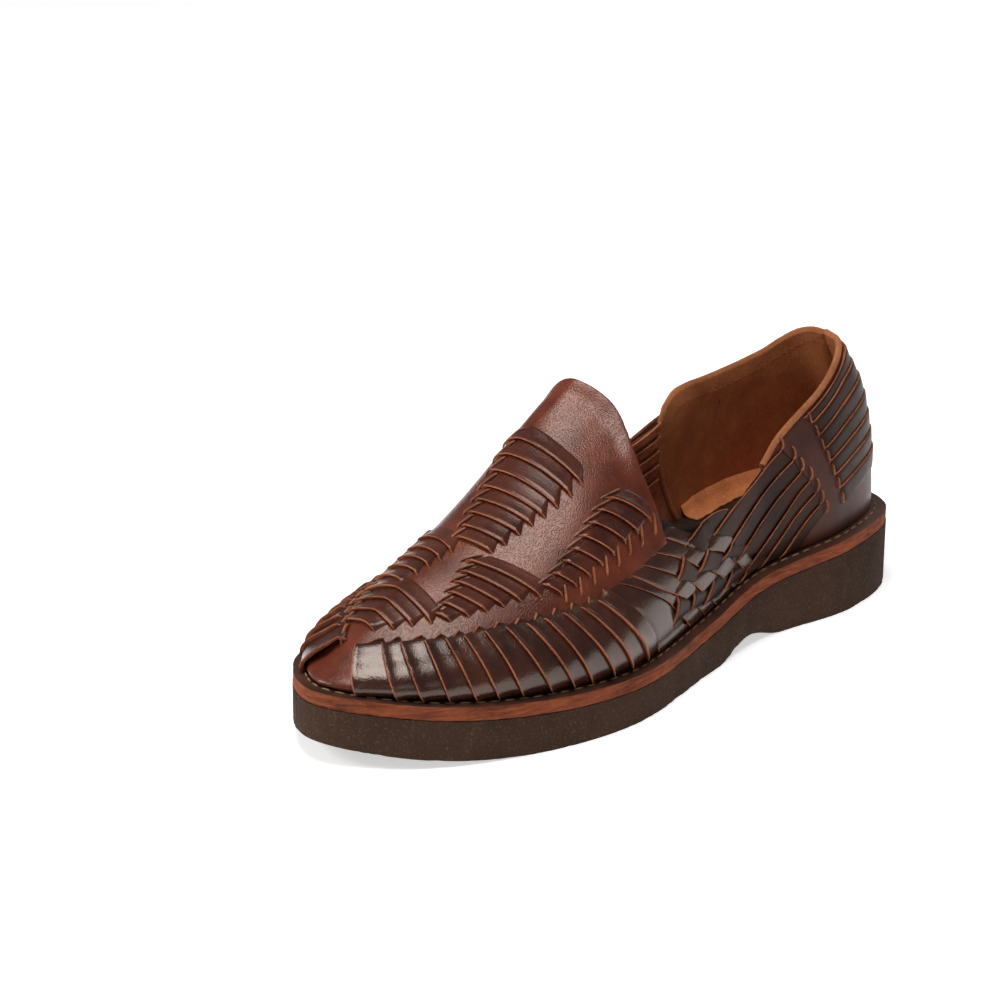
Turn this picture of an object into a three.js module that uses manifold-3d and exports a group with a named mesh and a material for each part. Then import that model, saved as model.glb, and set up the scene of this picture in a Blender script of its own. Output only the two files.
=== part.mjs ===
// A left huarache: a slip-on shoe with a woven leather upper, lasted to a leather midsole
// that is glued on a foam rubber outsole. Millimetres.
// +X is the outer (lateral) side, -Y the toe and +Z up. The origin lies on the ground, at the
// middle of the sole's length. A station is a distance from the back of the heel towards the toe.
import * as THREE from 'three';
import { mergeVertices } from 'three/addons/utils/BufferGeometryUtils.js';
import Module from 'manifold-3d';

const wasm = await Module();
wasm.setup();

// ---- Driving sizes ----

const LENGTH = 300;
const GAP = 0.3; // between one glued or lasted piece and the next
const MIDSOLE_THICKNESS = 5.4;
const INSOLE_THICKNESS = 3;
const UPPER_WALL = 2.6; // plate or strap over strap, with the lining in the quarters
const LEDGE = 6.2; // how far the midsole stands out beyond the upper
const TOE_SPRING = 8.8; // lift of the outsole's tip
const TOE_SPRING_START = 228;
const HEEL_ROLL = 3; // lift of the rounded rear edge of the heel
const HEEL_ROLL_LENGTH = 9;
const ARCH_HEIGHT = 5;
const ARCH_START = 82; // the heel breast
const ARCH_END = 127; // the back of the forefoot's tread
const RIDGE_START = 44; // the sections fan out round the heel from here
const RIDGE_END = 262; // and round the toe from here
const SWELL_SHARE = 0.5; // the swell takes up this much of the height

const STATION_STEPS = 44;
const RISE_STEPS = 13;
const OUTLINE_SAMPLES = 720;

// The sole's outline seen from above, round from the heel by the outer side.
const SOLE_OUTLINE = [
  { name: 'heel back', x: -1.5, y: 150 },
  { name: 'outer heel corner', x: 22.5, y: 142.5 },
  { name: 'outer heel', x: 35.5, y: 107 },
  { name: 'outer waist', x: 32, y: 58 },
  { name: 'outer shank', x: 40.5, y: 16 },
  { name: 'outer ball', x: 53.5, y: -40 },
  { name: 'little toes', x: 45.5, y: -88 },
  { name: 'outer toe', x: 23.5, y: -130 },
  { name: 'tip', x: -6.5, y: -150 },
  { name: 'big toe', x: -35.5, y: -133 },
  { name: 'inner toe', x: -51.5, y: -98 },
  { name: 'inner ball', x: -52.5, y: -52 },
  { name: 'inner shank', x: -43.5, y: -2 },
  { name: 'inner waist', x: -35.5, y: 48 },
  { name: 'inner heel', x: -38.5, y: 105 },
  { name: 'inner heel corner', x: -27.5, y: 140 },
];

// Height of the outsole's upper face: a wedge that is thickest under the heel.
const SOLE_TOP = [
  { station: 0, height: 27 },
  { station: 40, height: 26.5 },
  { station: 90, height: 21.5 },
  { station: 140, height: 14.5 },
  { station: 200, height: 14 },
  { station: 250, height: 16.5 },
  { station: 300, height: 23 },
];

// The form of the last over its length: the height of its crown above the ground, the place of
// its ridge across, the fullness of the section (2 is an ellipse) and how far the side swells
// out above the feather edge. Behind the tongue the crown climbs into the leg, and the collar
// cuts it off.
const LAST = [
  { station: 0, crown: 136.5, across: -2.7, fullness: 1.95, swell: 0 },
  { station: 44, crown: 136.5, across: -3, fullness: 1.95, swell: 0.5 },
  { station: 100, crown: 132, across: -8, fullness: 1.97, swell: 2 },
  { station: 128, crown: 122, across: -12, fullness: 1.97, swell: 2.4 },
  { station: 146, crown: 113.2, across: -14.8, fullness: 1.97, swell: 2.4 },
  { station: 165, crown: 102.7, across: -16.2, fullness: 1.93, swell: 2.4 },
  { station: 185, crown: 91.2, across: -16.8, fullness: 1.87, swell: 2.4 },
  { station: 205, crown: 77.6, across: -14.5, fullness: 1.8, swell: 2.4 },
  { station: 225, crown: 66, across: -11.2, fullness: 1.77, swell: 2.4 },
  { station: 245, crown: 57.8, across: -9.8, fullness: 1.78, swell: 2.4 },
  { station: 265, crown: 49.2, across: -9, fullness: 1.83, swell: 2.4 },
  { station: 285, crown: 41.2, across: -8.5, fullness: 1.85, swell: 2.4 },
  { station: 300, crown: 35.2, across: -8, fullness: 1.85, swell: 2.4 },
];

// Height of the collar's edge, from the back of the heel to the corners of the throat.
const COLLAR = [
  { station: 6, outer: 107.8, inner: 107.8 },
  { station: 19, outer: 107.8, inner: 107.4 },
  { station: 25, outer: 107.3, inner: 100.8 },
  { station: 32, outer: 103.5, inner: 96.3 },
  { station: 43, outer: 98, inner: 93 },
  { station: 54, outer: 93, inner: 91 },
  { station: 70, outer: 84.5, inner: 90 },
  { station: 79, outer: 78.5, inner: 90 },
  { station: 88, outer: 70, inner: 88.5 },
  { station: 97, outer: 65, inner: 81.5 },
  { station: 105, outer: 60.5, inner: 78 },
  { station: 113, outer: 59.5, inner: 75.5 },
  { station: 124, outer: 61, inner: 73 },
  { station: 136, outer: 62.5, inner: 73 },
  { station: 149, outer: 67, inner: 77 },
  { station: 158, outer: 75, inner: 84 },
];

// The rear edge of the vamp plate and its tongue, seen from above.
const TONGUE_EDGE = [
  { across: -60, station: 160 },
  { across: -42, station: 159 },
  { across: -36, station: 156 },
  { across: -30, station: 151.5 },
  { across: -22, station: 147.3 },
  { across: -13, station: 145.5 },
  { across: -5, station: 145.3 },
  { across: 2, station: 147 },
  { across: 9, station: 150.3 },
  { across: 16, station: 153.7 },
  { across: 23, station: 155.5 },
  { across: 29, station: 155.5 },
  { across: 60, station: 156 },
];

const COLOURS = {
  outsole: 0x35231b,
  midsole: 0x6b3018,
  insole: 0x7a451f,
  upper: 0x43201a,
};

// ---- Tables and outlines ----

const stationOf = (y) => LENGTH / 2 - y;
const yOf = (station) => LENGTH / 2 - station;

// A smooth function of the first column's value, through one column of a table.
function column(rows, name, along = 'station') {
  const places = rows.map((row) => row[along]);
  const values = rows.map((row) => row[name]);
  const curve = new THREE.CubicInterpolant(places, values, 1);
  const first = places[0];
  const last = places[places.length - 1];
  return (place) => curve.evaluate(THREE.MathUtils.clamp(place, first, last))[0];
}

// The sole's outline drawn in by an inset, as how far it reaches to each side at a station.
function outlineSides(inset) {
  const corners = SOLE_OUTLINE.map((point) => new THREE.Vector3(point.x, point.y, 0));
  const curve = new THREE.CatmullRomCurve3(corners, true, 'centripetal');
  const points = [];
  for (let i = 0; i < OUTLINE_SAMPLES; i++) {
    const tangent = curve.getTangent(i / OUTLINE_SAMPLES);
    const inwards = new THREE.Vector3(tangent.y, -tangent.x, 0).normalize();
    points.push(curve.getPoint(i / OUTLINE_SAMPLES).addScaledVector(inwards, inset));
  }
  const ys = points.map((point) => point.y);
  const heel = ys.indexOf(Math.max(...ys));
  const tip = ys.indexOf(Math.min(...ys));
  const run = (from, to) => {
    const side = [];
    for (let i = from; ; i = (i + 1) % OUTLINE_SAMPLES) {
      side.push(points[i]);
      if (i === to) break;
    }
    return side;
  };
  return {
    start: stationOf(ys[heel]),
    end: stationOf(ys[tip]),
    outer: reach(run(heel, tip)),
    inner: reach(run(tip, heel).reverse()),
  };
}

// How far a run of outline points, in order from heel to toe, lies across at a station.
function reach(side) {
  const ordered = [];
  for (const point of side) {
    const previous = ordered[ordered.length - 1];
    if (!previous || point.y < previous.y - 1e-6) ordered.push(point);
  }
  return (station) => {
    const y = yOf(station);
    let i = ordered.findIndex((point) => point.y <= y);
    if (i === -1) i = ordered.length - 1;
    if (i === 0) return ordered[0].x;
    const a = ordered[i - 1];
    const b = ordered[i];
    return THREE.MathUtils.mapLinear(THREE.MathUtils.clamp(y, b.y, a.y), a.y, b.y, a.x, b.x);
  };
}

// Stations from one end of an outline to the other, close together at its round ends.
function stationsOf(sides) {
  const stations = [];
  for (let i = 0; i <= STATION_STEPS; i++) {
    const share = (1 - Math.cos((Math.PI * i) / STATION_STEPS)) / 2;
    stations.push(THREE.MathUtils.lerp(sides.start, sides.end, share));
  }
  return stations;
}

// ---- Closed solids ----

// The solid between stacked rings: rings[level] is a list of points, one for each place round.
// The first ring is closed by crossing strips, and so is the last unless its halves meet.
function ringSolid(rings, closeTop) {
  const around = rings[0].length;
  const positions = rings.flat().flatMap((point) => [point.x, point.y, point.z]);
  const index = [];
  for (let level = 0; level < rings.length - 1; level++) {
    for (let i = 0; i < around; i++) {
      const next = (i + 1) % around;
      const a = level * around + i;
      const b = level * around + next;
      index.push(a, b + around, b, a, a + around, b + around);
    }
  }
  const half = around / 2;
  const top = (rings.length - 1) * around;
  for (let i = 0; i < half; i++) {
    const a = i;
    const b = i + 1;
    const c = (around - i - 1) % around;
    const d = (around - i) % around;
    index.push(a, b, c, a, c, d);
    if (closeTop) index.push(top + a, top + c, top + b, top + a, top + d, top + c);
  }
  const geometry = new THREE.BufferGeometry();
  geometry.setAttribute('position', new THREE.Float32BufferAttribute(positions, 3));
  geometry.setIndex(index);
  return geometry;
}

// One ring round an outline: the outer side from heel to toe, then the inner side back.
function ring(stations, pointAt) {
  const outer = stations.map((station) => pointAt('outer', station));
  const inner = stations.slice(1, -1).map((station) => pointAt('inner', station));
  return [...outer, ...inner.reverse()];
}

function manifoldOf(geometry) {
  const bare = geometry.clone();
  bare.deleteAttribute('normal');
  bare.deleteAttribute('uv');
  const merged = mergeVertices(bare, 1e-4);
  const triangles = [];
  for (let i = 0; i < merged.index.count; i += 3) {
    const [a, b, c] = [0, 1, 2].map((k) => merged.index.getX(i + k));
    if (a !== b && b !== c && c !== a) triangles.push(a, b, c);
  }
  return new wasm.Manifold(
    new wasm.Mesh({
      numProp: 3,
      vertProperties: new Float32Array(merged.attributes.position.array),
      triVerts: new Uint32Array(triangles),
    }),
  );
}

function geometryOf(solid) {
  const mesh = solid.getMesh();
  const geometry = new THREE.BufferGeometry();
  geometry.setAttribute('position', new THREE.BufferAttribute(mesh.vertProperties, 3));
  geometry.setIndex(new THREE.BufferAttribute(mesh.triVerts, 1));
  return geometry;
}

// ---- The sole ----

const soleTop = column(SOLE_TOP, 'height');
const midsoleTop = (station) => soleTop(station) + GAP + MIDSOLE_THICKNESS;
const insoleBottom = (station) => midsoleTop(station) + GAP;

function soleBottom(station) {
  const spring = Math.max(0, (station - TOE_SPRING_START) / (LENGTH - TOE_SPRING_START));
  const roll = Math.max(0, 1 - station / HEEL_ROLL_LENGTH);
  const arch = THREE.MathUtils.clamp((station - ARCH_START) / (ARCH_END - ARCH_START), 0, 1);
  return TOE_SPRING * spring ** 2 + HEEL_ROLL * roll ** 2 + ARCH_HEIGHT * Math.sin(Math.PI * arch) ** 2;
}

// A flat-sided slab that follows the sole's outline between two heights.
function slab(inset, bottomAt, topAt) {
  const sides = outlineSides(inset);
  const stations = stationsOf(sides);
  const level = (heightAt) =>
    ring(stations, (side, station) => {
      return new THREE.Vector3(sides[side](station), yOf(station), heightAt(station));
    });
  return ringSolid([level(bottomAt), level(topAt)], true);
}

// ---- The upper ----

const last = {
  crown: column(LAST, 'crown'),
  across: column(LAST, 'across'),
  fullness: column(LAST, 'fullness'),
  swell: column(LAST, 'swell'),
};

// The form of the last, drawn in by an inset: a point at a share of the rise from the feather
// edge, at a station on one side, up to the ridge. Sections fan out round the heel and the toe.
function lastForm(inset) {
  const feather = outlineSides(LEDGE + inset);
  return {
    stations: stationsOf(feather),
    pointAt(side, station, rise) {
      const spine = THREE.MathUtils.lerp(RIDGE_START, RIDGE_END, station / LENGTH);
      const power = 2 / last.fullness(spine);
      const inwards = 1 - Math.cos((rise * Math.PI) / 2) ** power;
      const upwards = Math.sin((rise * Math.PI) / 2) ** power;
      const foot = new THREE.Vector2(feather[side](station), yOf(station));
      const crest = new THREE.Vector2(last.across(spine), yOf(spine));
      const outwards = foot.clone().sub(crest).normalize();
      const place = foot.clone().lerp(crest, inwards);
      const swell = last.swell(station) * Math.sin(Math.PI * Math.min(1, upwards / SWELL_SHARE));
      const crown = last.crown(stationOf(place.y)) - inset;
      place.addScaledVector(outwards, swell);
      const height = THREE.MathUtils.lerp(insoleBottom(station), crown, upwards);
      return new THREE.Vector3(place.x, place.y, height);
    },
  };
}

// A closed solid of the last's form. A skirt draws its feather edge down below the midsole.
function lastSolid(inset, skirt) {
  const form = lastForm(inset);
  const rings = [];
  if (skirt > 0) {
    rings.push(
      ring(form.stations, (side, station) => {
        return form.pointAt(side, station, 0).add(new THREE.Vector3(0, 0, -skirt));
      }),
    );
  }
  for (let step = 0; step <= RISE_STEPS; step++) {
    rings.push(ring(form.stations, (side, station) => form.pointAt(side, station, step / RISE_STEPS)));
  }
  return manifoldOf(ringSolid(rings, false));
}

// The space above the collar's edge on one side, as a block cut along that edge.
function aboveCollar(side) {
  const reachUp = 200;
  const halfWidth = 90;
  const edge = COLLAR.map((row) => new THREE.Vector2(yOf(row.station), row[side]));
  const shape = new THREE.Shape();
  shape.moveTo(LENGTH, edge[0].y);
  shape.lineTo(edge[0].x, edge[0].y);
  shape.splineThru(edge.slice(1));
  shape.lineTo(edge[edge.length - 1].x, reachUp);
  shape.lineTo(LENGTH, reachUp);
  const block = new THREE.ExtrudeGeometry(shape, { depth: halfWidth, bevelEnabled: false, curveSegments: 24 });
  const alongX = new THREE.Matrix4().makeBasis(
    new THREE.Vector3(0, 1, 0),
    new THREE.Vector3(0, 0, 1),
    new THREE.Vector3(1, 0, 0),
  );
  block.applyMatrix4(alongX);
  if (side === 'inner') block.translate(-halfWidth, 0, 0);
  return manifoldOf(block);
}

// The space in front of the tongue's rear edge, which the collar's cut leaves alone.
function beforeTongueEdge() {
  const reachUp = 200;
  const edge = TONGUE_EDGE.map((row) => new THREE.Vector2(row.across, yOf(row.station)));
  const shape = new THREE.Shape();
  shape.moveTo(edge[0].x, edge[0].y);
  shape.splineThru(edge.slice(1));
  shape.lineTo(edge[edge.length - 1].x, -LENGTH);
  shape.lineTo(edge[0].x, -LENGTH);
  return manifoldOf(new THREE.ExtrudeGeometry(shape, { depth: reachUp, bevelEnabled: false, curveSegments: 24 }));
}

function makeUpper() {
  const skirt = 12;
  const wall = lastSolid(0, 0).subtract(lastSolid(UPPER_WALL, skirt));
  const mouth = aboveCollar('outer').add(aboveCollar('inner')).subtract(beforeTongueEdge());
  return geometryOf(wall.subtract(mouth));
}

// ---- The shoe ----

function piece(name, geometry, roughness) {
  geometry.computeVertexNormals();
  const material = new THREE.MeshStandardMaterial({ color: COLOURS[name], roughness, metalness: 0 });
  const mesh = new THREE.Mesh(geometry, material);
  mesh.name = name;
  return mesh;
}

const huarache = new THREE.Group();
huarache.add(
  piece('outsole', slab(0, soleBottom, soleTop), 0.9),
  piece('midsole', slab(0, (station) => soleTop(station) + GAP, midsoleTop), 0.6),
  piece(
    'insole',
    slab(LEDGE + UPPER_WALL + GAP, insoleBottom, (station) => insoleBottom(station) + INSOLE_THICKNESS),
    0.7,
  ),
  piece('upper', makeUpper(), 0.35),
);

export default huarache;
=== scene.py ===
"""A left huarache: woven waxed-leather straps on a vamp plate and a heel counter, lined with suede,
on a leather midsole and a foam rubber outsole. Metres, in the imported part's own frame: +X is the
outer side, -Y the toe, +Z up. Tables are in millimetres. A station runs from the back of the heel."""

import math

import bmesh
import bpy
import numpy as np
from bpy.props import FloatProperty, FloatVectorProperty, PointerProperty
from mathutils import Matrix, Vector, noise
from mathutils.bvhtree import BVHTree


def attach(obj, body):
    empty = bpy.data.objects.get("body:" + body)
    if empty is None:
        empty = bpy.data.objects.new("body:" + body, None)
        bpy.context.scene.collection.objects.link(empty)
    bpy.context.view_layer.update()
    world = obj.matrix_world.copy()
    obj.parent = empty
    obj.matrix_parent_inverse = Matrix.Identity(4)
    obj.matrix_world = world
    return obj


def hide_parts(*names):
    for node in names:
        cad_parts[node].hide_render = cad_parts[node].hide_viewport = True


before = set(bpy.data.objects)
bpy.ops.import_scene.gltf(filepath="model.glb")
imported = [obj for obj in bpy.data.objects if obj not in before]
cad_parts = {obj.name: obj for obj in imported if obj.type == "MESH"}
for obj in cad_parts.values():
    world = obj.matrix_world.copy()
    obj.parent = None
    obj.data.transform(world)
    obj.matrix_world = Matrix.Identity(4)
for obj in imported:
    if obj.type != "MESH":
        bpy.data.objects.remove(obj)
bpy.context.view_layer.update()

bl_info = {
    "name": "Woven huarache",
    "version": (1, 0, 0),
    "blender": (4, 5, 0),
    "location": "3D View > Sidebar > Huarache",
    "description": "Builds a left woven leather huarache around its packed part",
    "category": "Add Mesh",
}

MM = 0.001
LENGTH = 300.0
LOOP = 2 * LENGTH
LEDGE = 6.2
RIDGE_START = 44.0
RIDGE_END = 262.0
GLUE_LINE = 0.3
MIDSOLE_TOP = 5.7  # above the outsole's top
FEATHER_LIFT = 6.0  # the upper's lower edge above the outsole's top

OUTLINE = [
    (-1.5, 150), (22.5, 142.5), (35.5, 107), (32, 58), (40.5, 16), (53.5, -40), (45.5, -88), (23.5, -130),
    (-6.5, -150), (-35.5, -133), (-51.5, -98), (-52.5, -52), (-43.5, -2), (-35.5, 48), (-38.5, 105),
    (-27.5, 140),
]

SOLE_TOP = [(0, 27), (40, 26.5), (90, 21.5), (140, 14.5), (200, 14), (250, 16.5), (300, 23)]

# station, crown height, ridge across, fullness, swell
LAST = [
    (0, 136.5, -2.7, 1.95, 0), (44, 136.5, -3, 1.95, 0.5), (100, 132, -8, 1.97, 2),
    (128, 122, -12, 1.97, 2.4),
    (146, 113.2, -14.8, 1.97, 2.4), (165, 102.7, -16.2, 1.93, 2.4), (185, 91.2, -16.8, 1.87, 2.4),
    (205, 77.6, -14.5, 1.8, 2.4), (225, 66, -11.2, 1.77, 2.4), (245, 57.8, -9.8, 1.78, 2.4),
    (265, 49.2, -9, 1.83, 2.4), (285, 41.2, -8.5, 1.85, 2.4), (300, 35.2, -8, 1.85, 2.4),
]

# station, collar height on the outer side, on the inner side
COLLAR = [
    (6, 107.8, 107.8), (19, 107.8, 107.4), (25, 107.3, 100.8), (32, 103.5, 96.3), (43, 98, 93), (54, 93, 91),
    (70, 84.5, 90), (79, 78.5, 90), (88, 70, 88.5), (97, 65, 81.5), (105, 60.5, 78), (113, 59.5, 75.5),
    (124, 61, 73), (136, 62.5, 73), (149, 67, 77), (158, 75, 84),
]

# across, station of the tongue's rear edge seen from above
TONGUE_EDGE = [
    (-60, 161), (-42, 160), (-36, 158), (-30, 156), (-22, 154), (-13, 152.3), (-5, 151), (2, 150.4),
    (9, 151.6), (16, 154), (23, 155.5), (29, 155.5), (60, 156),
]

# The tongue stands a little off the last: across, how far it is lifted at its rear edge
TONGUE_LIFT = [
    (-50, 1.5), (-40, 3.8), (-30, 5), (-22, 4.4), (-14, 2), (-6, -1), (2, -2.6), (10, -2.7), (18, -1.5),
    (26, -0.5), (34, 0),
]

# Straps over the vamp, seen from above: across and station where the toe-side edge of each starts,
# then where it ends.
INSTEP_STRAPS = [
    (-25.8, 183, 15.1, 180), (-24.6, 189.5, 15.3, 186), (-21.9, 196, 14.5, 192.5), (-19.2, 202.5, 13.3, 198),
    (-17.4, 208, 11.8, 203), (-15.8, 213.5, 10.4, 208.5), (-13.3, 219, 9.1, 214.5), (-11.3, 224, 7.4, 220),
]
OUTER_STRAPS = [
    (20.6, 176, 31.3, 159.5), (21.6, 182, 32.7, 168), (22.6, 187.5, 33.6, 175.5), (23.4, 193, 34.6, 182.5),
    (24.2, 198, 34.8, 189), (24.6, 203, 34.8, 195.5), (25, 208.5, 34.2, 202), (25.1, 214, 32.8, 208.5),
]
FRONT_STRAPS = [
    (-0.2, 229.5, 29, 216), (1.8, 234, 26.3, 223), (3.4, 238.5, 23.7, 229.5), (4.8, 243, 21, 236),
    (6.2, 247.5, 18.3, 242.5), (7.3, 252, 15.1, 249),
]
INNER_STRAPS = [
    (-33.2, 222, -4.6, 230), (-33.2, 227.5, -5.8, 235), (-33, 233, -6.6, 240), (-32.4, 238.5, -7.8, 245),
    (-31.6, 243.5, -9.8, 250.5),
]
TOE_STRAPS = [
    (-30.5, 252.5, 11.2, 255), (-27.6, 258.5, 6.8, 260.5), (-24.9, 264, 2.4, 266), (-21.6, 269, -3.3, 271),
]

# The fan of straps on the outer side: station and rise of each toe-side edge where it leaves the
# plate, and its station at the feather edge.
FAN = [
    (293, 0.61, 287), (286, 0.594, 277), (280, 0.571, 270), (271.5, 0.534, 262), (264, 0.502, 253),
    (257, 0.482, 245),
    (249, 0.466, 236), (241, 0.447, 224.5), (232.5, 0.422, 215), (225, 0.404, 207), (217.5, 0.384, 196),
    (210, 0.364, 186), (202.5, 0.347, 176), (195.5, 0.336, 167.5),
]

# Weave at the waist: edges of the straps that carry on the fan, from the topline down, then of those
# that come down from the quarter, from the toe back. Each edge is a list of (station, rise).
DOWN_TO_HEEL = [
    [(149, 0.324), (139, 0.262), (124, 0.205), (112, 0.151), (104, 0.095), (96, 0.04), (90, 0)],
    [(156, 0.32), (144, 0.247), (134, 0.195), (119, 0.135), (109, 0.075), (100, 0.02), (97, 0)],
    [(164, 0.311), (149, 0.228), (138, 0.164), (128, 0.114), (117, 0.055), (108, 0)],
    [(173, 0.315), (160, 0.237), (144, 0.142), (138, 0.1), (130, 0.05), (122, 0)],
    [(181, 0.32), (165, 0.205), (152, 0.13), (144, 0.087), (136, 0.035), (131, 0)],
    [(188, 0.329), (176, 0.25), (160, 0.14), (150, 0.06), (142, 0)],
    [(195.5, 0.336), (182, 0.21), (167.5, 0)],
]
DOWN_TO_TOE = [
    [(111, 0.224), (121, 0.251), (131, 0.26), (138, 0.256), (144, 0.243), (149, 0.219), (153, 0.185),
     (156, 0.12), (158, 0.064), (160, 0)],
    [(74, 0.288), (82, 0.269), (93, 0.24), (104, 0.226), (115, 0.216), (123, 0.207), (131, 0.188),
     (138, 0.151),
     (142, 0.115), (144, 0.07), (145, 0)],
    [(69, 0.251), (78, 0.228), (88, 0.201), (98, 0.174), (107, 0.153), (115, 0.137), (122, 0.118),
     (127, 0.094),
     (132, 0.06), (137, 0)],
    [(66, 0.215), (73, 0.192), (82, 0.164), (91, 0.132), (99, 0.104), (107, 0.08), (115, 0.05), (124, 0)],
    [(62, 0.183), (69, 0.16), (75, 0.132), (81, 0.102), (87, 0.074), (94, 0.046), (101, 0.023), (108, 0)],
    [(59, 0.146), (65, 0.128), (72, 0.1), (77, 0.073), (83, 0.04), (91, 0)],
    [(57, 0.11), (63, 0.091), (69, 0.062), (79, 0)],
    [(54.5, 0.078), (60, 0.056), (69, 0)],
]

# Straps round the back of the heel: station and rise at the counter's slot, and rise at the back.
HEEL_STRAPS = [
    (62, 0.372, 0.498), (57.5, 0.329, 0.452), (55.5, 0.288, 0.398), (54, 0.247, 0.34), (52, 0.21, 0.285),
    (50, 0.169, 0.233), (47.5, 0.128, 0.183), (45, 0.082, 0.135),
]


# ---- The last ----


class Column:
    """A smooth function of station through one column of a table."""

    def __init__(self, rows, index):
        self.places = np.array([row[0] for row in rows], float)
        self.values = np.array([row[index] for row in rows], float)
        self.slopes = np.gradient(self.values, self.places)

    def __call__(self, place):
        place = np.clip(place, self.places[0], self.places[-1])
        i = np.clip(np.searchsorted(self.places, place) - 1, 0, len(self.places) - 2)
        span = self.places[i + 1] - self.places[i]
        t = (place - self.places[i]) / span
        a, b = self.values[i], self.values[i + 1]
        m, n = self.slopes[i] * span, self.slopes[i + 1] * span
        return a + t * (m + t * (3 * (b - a) - 2 * m - n + t * (2 * (a - b) + m + n)))


def smoothstep(t):
    t = np.clip(t, 0, 1)
    return t * t * (3 - 2 * t)


def catmull(points, steps, closed=False):
    """A centripetal Catmull-Rom curve through points."""
    points = np.asarray(points, float)
    count = len(points)
    if not closed:
        points = np.vstack([2 * points[0] - points[1], points, 2 * points[-1] - points[-2]])
    curve = []
    for i in range(count if closed else count - 1):
        p = [points[(i + k) % len(points)] for k in ((-1, 0, 1, 2) if closed else (0, 1, 2, 3))]
        d = [max(np.linalg.norm(p[k + 1] - p[k]), 1e-6) ** 0.5 for k in range(3)]
        a = ((p[1] - p[0]) / d[0] - (p[2] - p[0]) / (d[0] + d[1]) + (p[2] - p[1]) / d[1]) * d[1]
        b = ((p[2] - p[1]) / d[1] - (p[3] - p[1]) / (d[1] + d[2]) + (p[3] - p[2]) / d[2]) * d[1]
        t = np.arange(steps)[:, None] / steps
        square = 3 * (p[2] - p[1]) - 2 * a - b
        cube = 2 * (p[1] - p[2]) + a + b
        curve.append(p[1] + a * t + square * t**2 + cube * t**3)
    if not closed:
        curve.append(points[-2][None])
    return np.vstack(curve)


def outline_sides(inset):
    """How far the sole's outline, drawn in by an inset, reaches to each side at a station."""
    curve = catmull(OUTLINE, 45, closed=True)
    along = np.roll(curve, -1, 0) - np.roll(curve, 1, 0)
    along /= np.linalg.norm(along, axis=1)[:, None]
    curve = curve + np.c_[along[:, 1], -along[:, 0]] * inset
    curve = np.roll(curve, -int(curve[:, 1].argmax()), 0)
    tip = int(curve[:, 1].argmin())
    outer, inner = curve[: tip + 1], np.vstack([curve[tip:], curve[:1]])[::-1]
    sides = [
        (np.maximum.accumulate(LENGTH / 2 - side[:, 1]), side[:, 0]) for side in (outer, inner)
    ]
    return LENGTH / 2 - curve[0, 1], LENGTH / 2 - curve[tip, 1], sides


sole_top = Column(SOLE_TOP, 1)
LAST_COLUMNS = [Column(LAST, i) for i in range(1, 5)]
COLLAR_SIDES = [Column(COLLAR, 1), Column(COLLAR, 2)]
FEATHER = outline_sides(LEDGE)


def last_points(loop, rise):
    """Points on the last. The loop coordinate runs round the feather edge: 0 at the back of the
    heel, 300 at the toe, on along the inner side to 600. The rise is 0 there and 1 at the ridge."""
    loop, rise = np.broadcast_arrays(np.mod(np.asarray(loop, float), LOOP), np.asarray(rise, float))
    crown, across, fullness, swell = LAST_COLUMNS
    outer = loop <= LENGTH
    start, end, sides = FEATHER
    station = np.clip(np.where(outer, loop, LOOP - loop), start, end)
    foot = np.where(outer, np.interp(station, *sides[0]), np.interp(station, *sides[1]))
    spine = RIDGE_START + (RIDGE_END - RIDGE_START) * station / LENGTH
    power = 2 / fullness(spine)
    turn = np.clip(rise, 0, 1) * math.pi / 2
    inwards = 1 - np.cos(turn) ** power
    upwards = np.sin(turn) ** power
    ridge = across(spine)
    place = station + (spine - station) * inwards
    low = sole_top(station) + FEATHER_LIFT
    dx, dy = foot - ridge, spine - station
    reach = np.hypot(dx, dy)
    bulge = swell(station) * np.sin(math.pi * np.minimum(1, upwards / 0.5))
    return np.stack(
        [
            foot + (ridge - foot) * inwards + dx / reach * bulge,
            LENGTH / 2 - place + dy / reach * bulge,
            low + (crown(place) - low) * upwards,
        ],
        -1,
    )


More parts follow.
